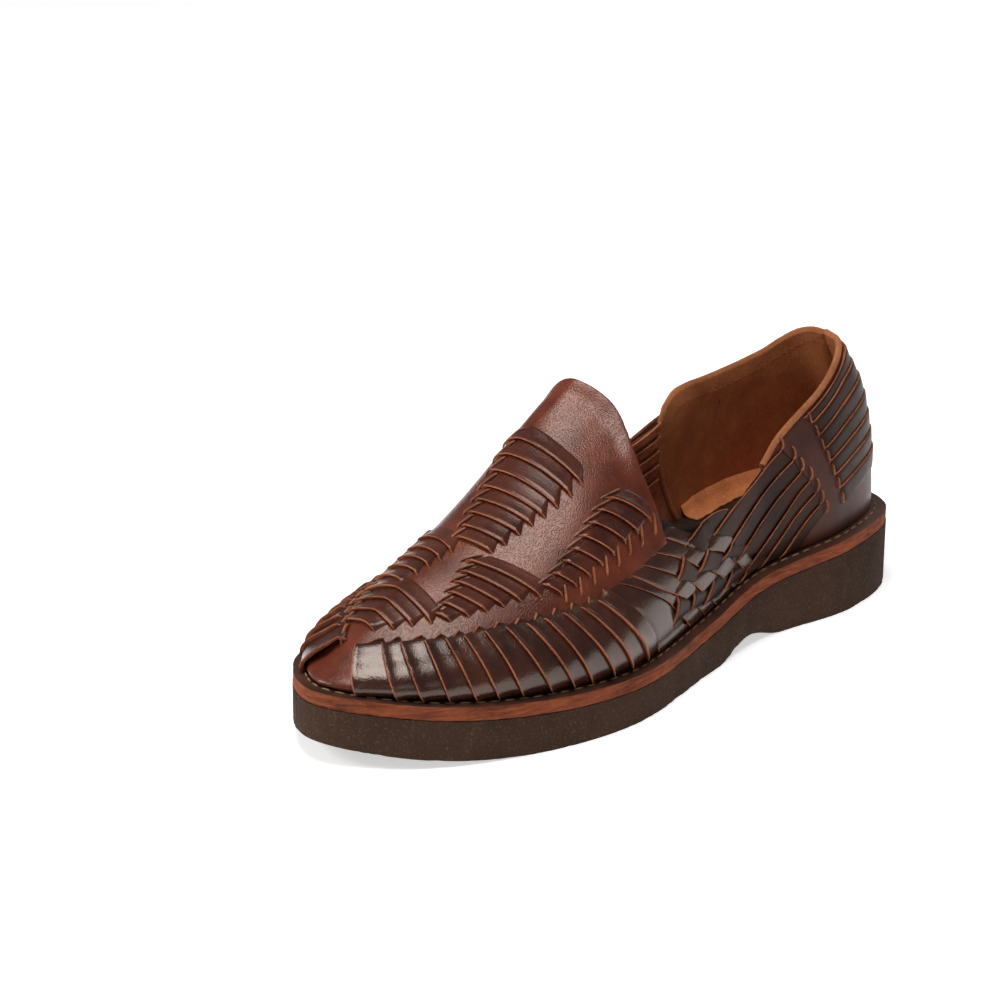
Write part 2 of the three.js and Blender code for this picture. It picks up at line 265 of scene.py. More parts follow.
class Skin:
    """The last as a fine mesh, to set pieces down on."""

    ROUND = 640
    UP = 72

    def __init__(self):
        start, end, _ = FEATHER
        turn = math.pi * np.arange(self.ROUND // 2) / (self.ROUND // 2)
        half = start + (end - start) * (1 - np.cos(turn)) / 2
        loops = np.r_[half, LOOP - (start + end - half)]
        rises = np.linspace(0, 1, self.UP + 1)
        grid = last_points(loops[:, None], rises[None, :])
        lift = np.interp(grid[..., 0], *zip(*TONGUE_LIFT))
        lift *= 1 - smoothstep((LENGTH / 2 - grid[..., 1] - 154) / 40)
        lift *= smoothstep((rises[None, :] - 0.33) / 0.15)
        grid = grid + self.normals_of(grid) * lift[..., None]
        self.points = grid.reshape(-1, 3)
        self.normals = self.normals_of(grid).reshape(-1, 3)
        i, j = np.meshgrid(np.arange(self.ROUND), np.arange(self.UP), indexing="ij")
        k = (i + 1) % self.ROUND
        row = self.UP + 1
        corners = [i * row + j, k * row + j, k * row + j + 1, i * row + j + 1]
        self.faces = np.stack(corners, -1).reshape(-1, 4)
        self.tree = BVHTree.FromPolygons(self.points.tolist(), self.faces.tolist())

    @staticmethod
    def normals_of(grid):
        around = np.roll(grid, -1, 0) - np.roll(grid, 1, 0)
        upward = np.gradient(grid, axis=1)
        normals = np.cross(around, upward)
        normals /= np.maximum(np.linalg.norm(normals, axis=2), 1e-9)[..., None]
        normals[:, -1] = normals[:, -2]
        outwards = grid - np.array([-5.0, 0.0, 30.0])
        outwards[..., 1] = 0
        return -normals if np.sum(normals * outwards) < 0 else normals

    def settle(self, points):
        """The nearest places on the last, and its normals there."""
        places, normals = [], []
        for point in points:
            place, _, face, _ = self.tree.find_nearest(Vector(point))
            corners = self.faces[face]
            gaps = np.linalg.norm(self.points[corners] - np.array(place), axis=1)
            weights = 1 / (gaps + 0.02) ** 2
            normal = (self.normals[corners] * weights[:, None]).sum(0)
            places.append(place)
            normals.append(normal / np.linalg.norm(normal))
        return np.array(places), np.array(normals)

    def drop(self, across, station):
        """Places on top of the last under points given across and along it."""
        places = []
        for x, s in zip(across, station):
            hit = self.tree.ray_cast(Vector((x, LENGTH / 2 - s, 300)), Vector((0, 0, -1)))[0]
            if hit is None:
                hit = self.tree.find_nearest(Vector((x, LENGTH / 2 - s, 60)))[0]
            places.append(hit)
        return np.array(places)


SKIN = Skin()


def collar_rise(loop):
    """The rise at which the collar's edge cuts each section of the last."""
    loop = np.atleast_1d(np.asarray(loop, float))
    rises = np.linspace(0.1, 1, 181)
    found = []
    for place in loop:
        column = last_points(place, rises)
        side = COLLAR_SIDES[0] if np.mod(place, LOOP) <= LENGTH else COLLAR_SIDES[1]
        over = column[:, 2] - side(LENGTH / 2 - column[:, 1])
        above = int(np.argmax(over > 0)) if (over > 0).any() else len(rises) - 1
        above = max(above, 1)
        a, b = over[above - 1], over[above]
        share = np.clip(a / (a - b + 1e-9), 0, 1)
        found.append(rises[above - 1] + (rises[above] - rises[above - 1]) * share)
    return np.array(found)


COLLAR_LOOPS = np.arange(-158, 159, 1.0)
COLLAR_RISES = collar_rise(COLLAR_LOOPS)


def rim(loop):
    """The collar's rise at a loop coordinate between the throat's two corners."""
    loop = np.mod(np.asarray(loop, float) + LENGTH, LOOP) - LENGTH
    return np.interp(loop, COLLAR_LOOPS, COLLAR_RISES)


# ---- Lines on the last ----


def fractions(points):
    steps = np.linalg.norm(np.diff(points, axis=0), axis=1)
    along = np.r_[0, np.cumsum(steps)]
    return along / max(along[-1], 1e-9)


def runner(points):
    """A function from a share of a line's length to its points."""
    points = np.asarray(points, float)
    shares = fractions(points)
    return lambda u: np.stack([np.interp(u, shares, points[:, k]) for k in range(points.shape[1])], -1)


def chart_line(rows):
    """A line through (loop, rise) rows."""
    rows = np.asarray(rows, float)
    if len(rows) > 2:
        chart = catmull(rows, 12)
    else:
        chart = rows[0] + np.linspace(0, 1, 24)[:, None] * (rows[1] - rows[0])
    return runner(last_points(chart[:, 0], chart[:, 1]))


def plan_line(start, end):
    """A line between two (across, station) places, laid on top of the last."""
    share = np.linspace(0, 1, 22)
    across = start[0] + share * (end[0] - start[0])
    station = start[1] + share * (end[1] - start[1])
    return runner(SKIN.drop(across, station))


# ---- Meshes ----


def sheet(bm, along, across, place, outwards=None, edge_row=False):
    """Adds a grid of faces, with place(u, v) giving all its points in millimetres. With edge_row the
    first row along the v = 0 side takes the cut edge's material."""
    made = bmesh.ops.create_grid(bm, x_segments=along, y_segments=across, size=1)["verts"]
    shares = np.array([(vert.co.x, vert.co.y) for vert in made]) * 0.5 + 0.5
    points = place(shares[:, 0], shares[:, 1])
    faces = list({face for vert in made for face in vert.link_faces})
    if edge_row:
        for face in faces:
            if face.calc_center_median().y < 2 / across - 1:
                face.material_index = 1
    for vert, point in zip(made, points):
        vert.co = Vector(point) * MM
    for face in faces:
        face.normal_update()
        face.smooth = True
    if outwards is not None:
        lean = 0.0
        for face in faces[:: max(1, len(faces) // 60)]:
            lean += face.normal.dot(Vector(outwards(np.array(face.calc_center_median()) / MM)))
        if lean < 0:
            bmesh.ops.reverse_faces(bm, faces=faces)
    return made, faces


def skin_normal(point):
    return SKIN.settle([point])[1][0]


def between(u, shares, rows):
    """Rows of a table of points, read at other shares of its length."""
    return np.stack([np.interp(u, shares, rows[:, k]) for k in range(rows.shape[1])], -1)


def part_of(line, start, end):
    """The part of a line between two shares of its length."""
    return lambda u: line(start + (end - start) * np.asarray(u))


RIDGE_SUNK = 0.25


def ridge(bm, line, width, height, along=10):
    """Adds a low rounded ridge, such as the lip of a slot, its ends and sides let into the leather."""
    centre = line(np.linspace(0, 1, along + 1))
    places, normals = SKIN.settle(centre)
    ahead = np.gradient(centre, axis=0)
    sideways = np.cross(normals, ahead)
    sideways /= np.linalg.norm(sideways, axis=1)[:, None]
    shares = np.linspace(0, 1, along + 1)

    def place(u, v):
        rise = height * np.sin(math.pi * np.clip(0.08 + 0.84 * v, 0, 1)) ** 0.6
        rise = rise * np.minimum(1, np.sin(math.pi * np.clip(0.02 + 0.96 * u, 0, 1)) * 2.2)
        centres, across, up = (between(u, shares, rows) for rows in (places, sideways, normals))
        return centres + across * ((v - 0.5) * width)[:, None] + up * (rise - RIDGE_SUNK)[:, None]

    return sheet(bm, along, 5, place, skin_normal)


TAPER_LENGTH = 4
CHAMFER_DROP = 0.4


def strap(
    bm, raised, tucked, base=0.5, crown=0.35, tilt=0.7, ends=(1.6, 1.6), runs=(2.4, 2.4), taper=(0, 0),
    overlap=0.12, lift=None, across=6, step=1.25, cut_edge=True, curl=2.4,
):
    """Adds a strap between two edge lines. Its raised edge stands up over the next strap, its
    tucked edge goes under the one before, and both ends sink into their slots. Ends says how deep
    each end sinks and runs over what length."""
    probe = np.linspace(0, 1, 9)
    middle = (raised(probe) + tucked(probe)) / 2
    length = float(np.linalg.norm(np.diff(middle, axis=0), axis=1).sum())
    width = float(np.linalg.norm(raised(probe) - tucked(probe), axis=1).mean())
    chamfer = min(0.3, 0.45 / max(width, 0.1)) if cut_edge else 0
    along = max(8, int(length / step))

    def place(u, v):
        if cut_edge:
            rest = chamfer + (1 - chamfer) * (v * across - 1) / (across - 1)
            v = np.where(v < 1.01 / across, v * across * chamfer, rest)
        narrow = taper[0] * (1 - smoothstep(u * length / TAPER_LENGTH))
        narrow = narrow + taper[1] * (1 - smoothstep((1 - u) * length / TAPER_LENGTH))
        side = 0.5 + (v - 0.5) * (1 - narrow)
        side = side * (1 + overlap)
        points = raised(u) * (1 - side[:, None]) + tucked(u) * side[:, None]
        places, normals = SKIN.settle(points)
        height = base + crown * 4 * v * (1 - v) + tilt * np.clip(1 - v, 0, 1) ** curl
        if cut_edge:
            height = height - CHAMFER_DROP * (v < chamfer * 0.5)
        height = height - ends[0] * (1 - smoothstep(u * length / runs[0]))
        height = height - ends[1] * (1 - smoothstep((1 - u) * length / runs[1]))
        if lift is not None:
            height = height + lift(u, v)
        return places + normals * height[:, None]

    return sheet(bm, along, across, place, skin_normal, cut_edge)


LIP_THICKNESS = 0.4
LIP_WIDTH = 0.9


def mesh_object(name, bm, materials, replaces=()):
    """Turns a bmesh into a piece of the shoe."""
    mesh = bpy.data.meshes.new(name)
    bm.to_mesh(mesh)
    bm.free()
    for material in materials:
        mesh.materials.append(material)
    piece = bpy.data.objects.new(name, mesh)
    bpy.context.scene.collection.objects.link(piece)
    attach(piece, "root")
    if replaces:
        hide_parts(*replaces)
    return piece


def soften(piece, width, segments, angle):
    """Rounds the edges at which faces meet at more than an angle."""
    soft = piece.modifiers.new("Edges", "BEVEL")
    soft.width = width * MM
    soft.segments = segments
    soft.limit_method = "ANGLE"
    soft.angle_limit = math.radians(angle)


def leather_piece(
    name, bm, face, thickness, bevel=0.22, edge="edge", back="flesh", replaces=()
):
    """A sheet of leather given its thickness, inwards, with a finish each for its face, its softly
    rounded cut edge and its back."""
    piece = mesh_object(name, bm, [finish(face), finish(edge), finish(back)], replaces)
    solid = piece.modifiers.new("Thickness", "SOLIDIFY")
    solid.thickness = thickness * MM
    solid.offset = -1
    solid.use_even_offset = False
    solid.material_offset_rim = 1
    solid.material_offset = 2
    if bevel:
        soften(piece, bevel, 2, 55)
    return piece


def slot_lips(name, bm, face):
    """The lips that leather raises round its slots."""
    return leather_piece(name, bm, face, LIP_THICKNESS, 0, face, face)


# ---- Materials ----


def new_group(name, inputs, outputs):
    group = bpy.data.node_groups.new(name, "ShaderNodeTree")
    for label, kind, value in inputs:
        socket = group.interface.new_socket(name=label, in_out="INPUT", socket_type=kind)
        if value is not None:
            socket.default_value = value
    for label, kind in outputs:
        group.interface.new_socket(name=label, in_out="OUTPUT", socket_type=kind)
    return group, group.nodes.new("NodeGroupInput"), group.nodes.new("NodeGroupOutput")


def fill(tree, sockets, values):
    """Gives each socket its value, its colour or the output that feeds it."""
    for socket, value in zip(sockets, values):
        if isinstance(value, bpy.types.NodeSocket):
            tree.links.new(value, socket)
        elif isinstance(value, tuple):
            socket.default_value = (*value[:3], 1)
        else:
            socket.default_value = value


def math_node(tree, operation, a, b):
    made = tree.nodes.new("ShaderNodeMath")
    made.operation = operation
    fill(tree, made.inputs, (a, b))
    return made.outputs[0]


def mix_colour(tree, factor, a, b):
    made = tree.nodes.new("ShaderNodeMix")
    made.data_type = "RGBA"
    fill(tree, [made.inputs[index] for index in (0, 6, 7)], (factor, a, b))
    return made.outputs[2]


def ranged(tree, value, low, high, to_low=0.0, to_high=1.0):
    made = tree.nodes.new("ShaderNodeMapRange")
    fill(tree, made.inputs, (value, low, high, to_low, to_high))
    return made.outputs[0]


def object_coordinates(tree, scale=None):
    coordinates = tree.nodes.new("ShaderNodeTexCoord").outputs["Object"]
    if scale is None:
        return coordinates
    mapping = tree.nodes.new("ShaderNodeMapping")
    mapping.inputs["Scale"].default_value = scale
    tree.links.new(coordinates, mapping.inputs["Vector"])
    return mapping.outputs["Vector"]


def noise_of(tree, vector, scale, detail=3.0, roughness=0.55):
    made = tree.nodes.new("ShaderNodeTexNoise")
    sockets = [made.inputs[label] for label in ("Vector", "Scale", "Detail", "Roughness")]
    fill(tree, sockets, (vector, scale, detail, roughness))
    return made.outputs["Fac"]


def cells_of(tree, vector, scale):
    made = tree.nodes.new("ShaderNodeTexVoronoi")
    fill(tree, (made.inputs["Vector"], made.inputs["Scale"]), (vector, scale))
    return made.outputs["Distance"]


def waxed_leather_group():
    """Waxed leather: cloudy dye, fine pebbled grain, creases and rubbed places."""
    group, enter, leave = new_group(
        "Waxed leather",
        [
            ("Dye", "NodeSocketColor", (0.06, 0.015, 0.01, 1)),
            ("Shade", "NodeSocketColor", (0.02, 0.006, 0.005, 1)),
            ("Rub", "NodeSocketColor", (0.2, 0.06, 0.03, 1)),
            ("Gloss low", "NodeSocketFloat", 0.2),
            ("Gloss high", "NodeSocketFloat", 0.42),
            ("Grain", "NodeSocketFloat", 1.0),
            ("Crease", "NodeSocketFloat", 1.0),
        ],
        [("Color", "NodeSocketColor"), ("Roughness", "NodeSocketFloat"), ("Height", "NodeSocketFloat")],
    )
    at = object_coordinates(group)
    cloud = ranged(group, noise_of(group, at, 55, 4), 0.36, 0.68)
    fine = noise_of(group, at, 900, 3)
    streak_at = object_coordinates(group, (260, 70, 170))
    streak = noise_of(group, streak_at, 1.0, 4, 0.65)
    colour = mix_colour(group, cloud, enter.outputs["Shade"], enter.outputs["Dye"])
    rubbed = ranged(group, noise_of(group, at, 140, 5, 0.7), 0.6, 0.78, 0, 0.5)
    colour = mix_colour(group, rubbed, colour, enter.outputs["Rub"])
    colour = mix_colour(group, ranged(group, fine, 0.35, 0.65, 0.0, 0.22), colour, enter.outputs["Shade"])
    pebbles = cells_of(group, at, 1500)
    height = math_node(group, "MULTIPLY", ranged(group, pebbles, 0.1, 0.6), enter.outputs["Grain"])
    creases = math_node(group, "MULTIPLY", ranged(group, streak, 0.35, 0.7), enter.outputs["Crease"])
    height = math_node(group, "ADD", height, math_node(group, "MULTIPLY", creases, 1.4))
    gloss = group.nodes.new("ShaderNodeMix")
    gloss.data_type = "FLOAT"
    group.links.new(ranged(group, noise_of(group, at, 220, 4, 0.6), 0.3, 0.7), gloss.inputs[0])
    group.links.new(enter.outputs["Gloss low"], gloss.inputs[2])
    group.links.new(enter.outputs["Gloss high"], gloss.inputs[3])
    group.links.new(colour, leave.inputs["Color"])
    group.links.new(gloss.outputs[0], leave.inputs["Roughness"])
    group.links.new(height, leave.inputs["Height"])
    return group


def fibre_group():
    """Raw leather fibre: the fluff of suede, flesh sides and cut edges."""
    group, enter, leave = new_group(
        "Leather fibre",
        [
            ("Dye", "NodeSocketColor", (0.3, 0.1, 0.03, 1)),
            ("Shade", "NodeSocketColor", (0.1, 0.03, 0.01, 1)),
            ("Scale", "NodeSocketFloat", 1.0),
        ],
        [("Color", "NodeSocketColor"), ("Height", "NodeSocketFloat")],
    )
    at = object_coordinates(group)
    patch = ranged(group, noise_of(group, at, 70, 4, 0.6), 0.32, 0.7)
    speck = ranged(group, noise_of(group, at, 1300, 3, 0.7), 0.36, 0.66)
    patches, specks = math_node(group, "MULTIPLY", patch, 0.55), math_node(group, "MULTIPLY", speck, 0.45)
    both = math_node(group, "ADD", patches, specks)
    colour = mix_colour(group, both, enter.outputs["Shade"], enter.outputs["Dye"])
    height = math_node(group, "MULTIPLY", noise_of(group, at, 1700, 4, 0.75), enter.outputs["Scale"])
    group.links.new(colour, leave.inputs["Color"])
    group.links.new(height, leave.inputs["Height"])
    return group


GROUPS = {}


def group_named(name):
    makers = {"leather": waxed_leather_group, "fibre": fibre_group}
    if name not in GROUPS:
        GROUPS[name] = makers[name]()
    return GROUPS[name]


def shader(name, roughness=0.5, specular=0.5, sheen=0.0, sheen_tint=None):
    material = bpy.data.materials.new(name)
    material.use_nodes = True
    principled = material.node_tree.nodes["Principled BSDF"]
    principled.inputs["Roughness"].default_value = roughness
    principled.inputs["Specular IOR Level"].default_value = specular
    principled.inputs["Sheen Weight"].default_value = sheen
    principled.inputs["Sheen Roughness"].default_value = 0.5
    if sheen_tint:
        principled.inputs["Sheen Tint"].default_value = (*sheen_tint, 1)
    return material, material.node_tree, principled


def place_group(tree, name, values):
    placed = tree.nodes.new("ShaderNodeGroup")
    placed.node_tree = group_named(name)
    fill(tree, [placed.inputs[label] for label in values], values.values())
    return placed


def bump(tree, height, principled, strength, distance):
    made = tree.nodes.new("ShaderNodeBump")
    made.inputs["Strength"].default_value = strength
    made.inputs["Distance"].default_value = distance
    tree.links.new(height, made.inputs["Height"])
    tree.links.new(made.outputs["Normal"], principled.inputs["Normal"])


def dye_colour(dye):
    """A colour as it is, or the one in the setting that dye names."""
    return tuple(getattr(bpy.context.scene.huarache_colours, dye)) if isinstance(dye, str) else dye


def leather(name, dye, shade, rub, gloss, grain, crease, specular):
    material, tree, principled = shader(name, specular=specular)
    values = {
        "Dye": dye_colour(dye), "Shade": shade, "Rub": rub, "Gloss low": gloss[0], "Gloss high": gloss[1],
        "Grain": grain, "Crease": crease,
    }
    placed = place_group(tree, "leather", values)
    tree.links.new(placed.outputs["Color"], principled.inputs["Base Color"])
    tree.links.new(placed.outputs["Roughness"], principled.inputs["Roughness"])
    bump(tree, placed.outputs["Height"], principled, 0.3, 0.0002)
    principled.inputs["Specular Tint"].default_value = (1, 0.86, 0.76, 1)
    return material


def fibre(name, dye, shade, roughness, sheen, strength, scale):
    dye = dye_colour(dye)
    material, tree, principled = shader(name, roughness=roughness, specular=0.25, sheen=sheen, sheen_tint=dye)
    placed = place_group(tree, "fibre", {"Dye": dye, "Shade": shade, "Scale": scale})
    tree.links.new(placed.outputs["Color"], principled.inputs["Base Color"])
    bump(tree, placed.outputs["Height"], principled, strength, 0.0005)
    return material


# name, dye or its setting, shade, rubbed colour, lowest and highest roughness, grain, crease, specular
LEATHERS = {
    "plate": (
        "Plate leather", "plate", (0.09, 0.02, 0.011), (0.26, 0.066, 0.032), (0.21, 0.28), 1.0, 0.1, 0.5,
    ),
    "strap": (
        "Strap leather", "strap", (0.05, 0.013, 0.008), (0.2, 0.052, 0.026), (0.19, 0.29), 0.5, 0.35, 0.52,
    ),
    "side": (
        "Side strap leather", "side_strap", (0.028, 0.008, 0.005), (0.14, 0.038, 0.018), (0.16, 0.25),
        0.5, 0.5, 0.8,
    ),
    "quarter": (
        "Quarter leather", "quarter", (0.02, 0.009, 0.007), (0.1, 0.034, 0.017), (0.3, 0.42), 0.35, 0.5, 0.11,
    ),
    "counter": (
        "Counter leather", "counter", (0.045, 0.014, 0.01), (0.14, 0.04, 0.022), (0.3, 0.4), 0.4, 0.2, 0.22,
    ),
    "midsole_top": (
        "Midsole top", (0.11, 0.036, 0.02), (0.035, 0.014, 0.009), (0.16, 0.05, 0.026), (0.42, 0.6),
        0.8, 0.8, 0.42,
    ),
    # The slot lips are paler than the plate leather: painted highlight on their bevels.
    "lip": (
        "Slot lips", (0.42, 0.2, 0.13), (0.16, 0.06, 0.035), (0.6, 0.35, 0.24), (0.25, 0.4), 0.4, 0.3, 0.42,
    ),
}

# name, dye or its setting, shade, roughness, sheen, depth of its roughness, coarseness
FIBRES = {
    "edge": ("Cut edge", "cut_edge", (0.14, 0.036, 0.016), 0.75, 0.0, 0.8, 1.0),
    "flesh": ("Flesh side", (0.66, 0.23, 0.11), (0.14, 0.036, 0.016), 0.9, 0.0, 1.0, 1.6),
    "suede": ("Lining suede", "suede", (0.24, 0.075, 0.027), 0.95, 0.35, 0.5, 1.0),
    # The turned-in suede is a paler copy of the lining suede: painted light from above on the lining's foot.
    "turned_in": ("Turned-in suede", (0.95, 0.36, 0.14), (0.5, 0.17, 0.06), 0.95, 0.35, 0.5, 1.0),
    # The rough strap back is a paler copy of the flesh side: painted light on strap backs that lie in shade.
    "rough_back_painted_light": ("Rough strap back", (0.95, 0.36, 0.19), (0.26, 0.07, 0.032), 0.9, 0.0, 1.0, 1.6),
    "binding": ("Turned suede edge", (0.52, 0.2, 0.082), (0.26, 0.085, 0.03), 0.9, 0.3, 0.6, 1.0),
    "backing": ("Backing", (0.03, 0.011, 0.007), (0.008, 0.004, 0.003), 0.85, 0.0, 0.5, 1.0),
    # The insole suede is darkened as painted shade inside the shoe.
    "insole": ("Insole suede", (0.07, 0.03, 0.014), (0.03, 0.012, 0.006), 0.95, 0.0, 0.5, 1.0),
    "thread": ("Waxed thread", "thread", (0.16, 0.09, 0.04), 0.6, 0.0, 0.5, 1.0),
}

MATERIALS = {}


def finish(name):
    """The shoe's materials, each made once."""
    if name not in MATERIALS:
        if name in LEATHERS:
            MATERIALS[name] = leather(*LEATHERS[name])
        elif name in FIBRES:
            MATERIALS[name] = fibre(*FIBRES[name])
        else:
            MATERIALS[name] = {"midsole_edge": midsole_edge, "foam": foam}[name]()
    return MATERIALS[name]


def midsole_edge():
    """The rough cut edge of the leather board, darker in patches and in layers."""
    material, tree, principled = shader("Midsole edge", roughness=0.72, specular=0.08)
    at = object_coordinates(tree)
    layers = noise_of(tree, object_coordinates(tree, (90, 90, 900)), 1.0, 4, 0.7)
    patches = noise_of(tree, at, 60, 5, 0.65)
    patches = ranged(tree, patches, 0.35, 0.66)
    colour = mix_colour(tree, patches, (0.1, 0.028, 0.015), dye_colour("midsole_edge"))
    colour = mix_colour(tree, ranged(tree, layers, 0.42, 0.66, 0, 0.6), colour, (0.4, 0.11, 0.045))
    tree.links.new(colour, principled.inputs["Base Color"])
    height = math_node(tree, "ADD", layers, noise_of(tree, at, 900, 4, 0.7))
    bump(tree, height, principled, 0.7, 0.0006)
    return material


def foam():
    """Microcellular foam rubber with fine pale specks."""
    material, tree, principled = shader("Foam rubber", roughness=0.85, specular=0.12)
    at = object_coordinates(tree)
    speck = ranged(tree, noise_of(tree, at, 1100, 2, 0.8), 0.56, 0.72, 0, 0.8)
    cloud = ranged(tree, noise_of(tree, at, 45, 3), 0.3, 0.7)
    base = dye_colour("foam")
    dark = tuple(value * 0.62 for value in base)
    colour = mix_colour(tree, cloud, dark, base)
    colour = mix_colour(tree, speck, colour, (0.14, 0.085, 0.06))
    tree.links.new(colour, principled.inputs["Base Color"])
    pits = ranged(tree, cells_of(tree, at, 1100), 0.0, 0.35)
    height = math_node(tree, "ADD", pits, noise_of(tree, at, 500, 3, 0.6))
    bump(tree, height, principled, 0.55, 0.0004)
    return material


# ---- Settings ----


class HuaracheSizes(bpy.types.PropertyGroup):
    """Sizes of the leather and the sewing."""

    plate_thickness: FloatProperty(
        name="Plate thickness", description="Leather of the vamp plate", default=0.0014, unit="LENGTH"
    )
    strap_thickness: FloatProperty(
        name="Strap thickness", description="Leather of the woven straps", default=0.0014, unit="LENGTH"
    )
    lining_thickness: FloatProperty(
        name="Lining thickness", description="Suede of the collar lining", default=0.0008, unit="LENGTH"
    )
    binding_width: FloatProperty(
        name="Turned edge", description="Width of the lining's turned edge", default=0.0029, unit="LENGTH"
    )
    stitch_length: FloatProperty(
        name="Stitch length", description="Length of a midsole stitch", default=0.0043, unit="LENGTH"
    )
    stitch_pitch: FloatProperty(
        name="Stitch pitch",
        description="Distance from one midsole stitch to the next", default=0.0058, unit="LENGTH"
    )
    groove_inset: FloatProperty(
        name="Stitch line inset",
        description="Midsole stitches from the sole's edge", default=0.0046, unit="LENGTH"
    )


class HuaracheColours(bpy.types.PropertyGroup):
    """Colours of the leather, suede, thread and foam."""

    plate: FloatVectorProperty(
        name="Plate", description="Vamp plate and tongue", subtype="COLOR", default=(0.2, 0.044, 0.022)
    )
    strap: FloatVectorProperty(
        name="Vamp straps", description="Straps over the vamp", subtype="COLOR", default=(0.12, 0.032, 0.017)
    )
    side_strap: FloatVectorProperty(
        name="Side straps", description="Fan of side straps", subtype="COLOR", default=(0.07, 0.02, 0.011)
    )
    quarter: FloatVectorProperty(
        name="Quarter straps",
        description="Waist, quarter and heel straps", subtype="COLOR", default=(0.052, 0.019, 0.011)
    )
    counter: FloatVectorProperty(
        name="Counter", description="Heel counter", subtype="COLOR", default=(0.09, 0.026, 0.017)
    )
    cut_edge: FloatVectorProperty(
        name="Cut edges", description="Raw edges of the leather", subtype="COLOR", default=(0.62, 0.2, 0.088)
    )
    suede: FloatVectorProperty(
        name="Lining", description="Suede lining", subtype="COLOR", default=(0.54, 0.19, 0.07)
    )
    thread: FloatVectorProperty(
        name="Thread", description="Midsole thread", subtype="COLOR", default=(0.5, 0.33, 0.15)
    )
    midsole_edge: FloatVectorProperty(
        name="Midsole edge",
        description="Cut edge of the midsole", subtype="COLOR", default=(0.27, 0.066, 0.028)
    )
    foam: FloatVectorProperty(
        name="Outsole foam", description="Foam rubber outsole", subtype="COLOR", default=(0.062, 0.032, 0.02)
    )


# ---- The sole ----

TOE_SPRING = 8.8
TOE_SPRING_START = 228
HEEL_ROLL = 3
HEEL_ROLL_LENGTH = 9
ARCH_HEIGHT = 5
ARCH_START = 82
ARCH_END = 127


def sole_bottom(station):
    spring = np.maximum(0, (station - TOE_SPRING_START) / (LENGTH - TOE_SPRING_START))
    roll = np.maximum(0, 1 - station / HEEL_ROLL_LENGTH)
    arch = np.clip((station - ARCH_START) / (ARCH_END - ARCH_START), 0, 1)
    return TOE_SPRING * spring**2 + HEEL_ROLL * roll**2 + ARCH_HEIGHT * np.sin(math.pi * arch) ** 2


def rough(points, size, depth, seed):
    """Small uneven shifts, the same every time, for cut edges."""
    return np.array([noise.noise(Vector(point) / size + Vector((seed, 0, 0))) for point in points]) * depth


UPRIGHT = 0.6


def slab(name, inset, low, high, materials, node_name, bevel, ragged=0.0, seed=3.0):
    """A slab with the sole's outline: its upper face is made, then pulled down to its lower face."""
    start, end, sides = outline_sides(inset)
    bm = bmesh.new()

    def across(u, v, heights):
        station = start + (end - start) * (1 - np.cos(math.pi * u)) / 2
        outer, inner = np.interp(station, *sides[0]), np.interp(station, *sides[1])
        share = 0.5 - 0.5 * np.cos(math.pi * v)
        return np.stack([inner + (outer - inner) * share, LENGTH / 2 - station, heights(station)], -1)

    sheet(bm, 220, 10, lambda u, v: across(u, v, high), lambda point: (0, 0, 1))
    bmesh.ops.remove_doubles(bm, verts=bm.verts, dist=1e-6)
    faces = list(bm.faces)
    for face in faces:
        face.material_index = 1
    lower = bmesh.ops.extrude_face_region(bm, geom=faces)["geom"]
    for vert in [item for item in lower if isinstance(item, bmesh.types.BMVert)]:
        station = LENGTH / 2 - vert.co.y / MM
        vert.co.z = float(low(np.array(station))) * MM
    bottoms = {item for item in lower if isinstance(item, bmesh.types.BMFace)}
    bmesh.ops.recalc_face_normals(bm, faces=bm.faces)
    for face in bm.faces:
        face.smooth = True
        if abs(face.normal.z) < UPRIGHT or face in bottoms:
            face.material_index = 0
    if ragged:
        rims = [vert for vert in bm.verts if any(abs(face.normal.z) < UPRIGHT for face in vert.link_faces)]
        for vert in rims:
            out = Vector((vert.co.x, vert.co.y * 0.35, 0)).normalized()
            shift = noise.noise(vert.co / (2.2 * MM) + Vector((seed, 0, 0))) * ragged
            shift += noise.noise(vert.co / (9 * MM) + Vector((0, seed, 0))) * ragged
            vert.co += out * min(0.0, shift) * MM
    piece = mesh_object(name, bm, materials, (node_name,))
    soften(piece, bevel, 3, 50)


class HUARACHE_OT_outsole(bpy.types.Operator):
    """Foam rubber outsole with its arch, toe spring and rounded heel edge"""

    bl_idname = "huarache.outsole"
    bl_label = "Outsole"

    def execute(self, context):
        foams = [finish("foam"), finish("foam")]
        slab("outsole_foam", 0, sole_bottom, sole_top, foams, "outsole", 0.8, 0.5)
        return {"FINISHED"}


class HUARACHE_OT_midsole(bpy.types.Operator):
    """Leather midsole with a rough cut edge and a dyed top"""

    bl_idname = "huarache.midsole"
    bl_label = "Midsole"

    def execute(self, context):
        slab(
            "midsole_board", 0.2, lambda s: sole_top(s) + GLUE_LINE, lambda s: sole_top(s) + MIDSOLE_TOP,
            [finish("midsole_edge"), finish("midsole_top")], "midsole", 0.7, 0.35, 11.0,
        )
        return {"FINISHED"}


def rail(inset, stations=400):
    """The sole's outline at an inset as a closed line round from the heel by the outer side."""
    start, end, sides = outline_sides(inset)
    share = (1 - np.cos(np.pi * np.arange(stations + 1) / stations)) / 2
    station = start + (end - start) * share
    outer = np.c_[np.interp(station, *sides[0]), station]
    inner = np.c_[np.interp(station, *sides[1]), station][::-1]
    line = np.vstack([outer, inner[1:]])
    return np.c_[line[:, 0], LENGTH / 2 - line[:, 1], sole_top(line[:, 1]) + MIDSOLE_TOP]


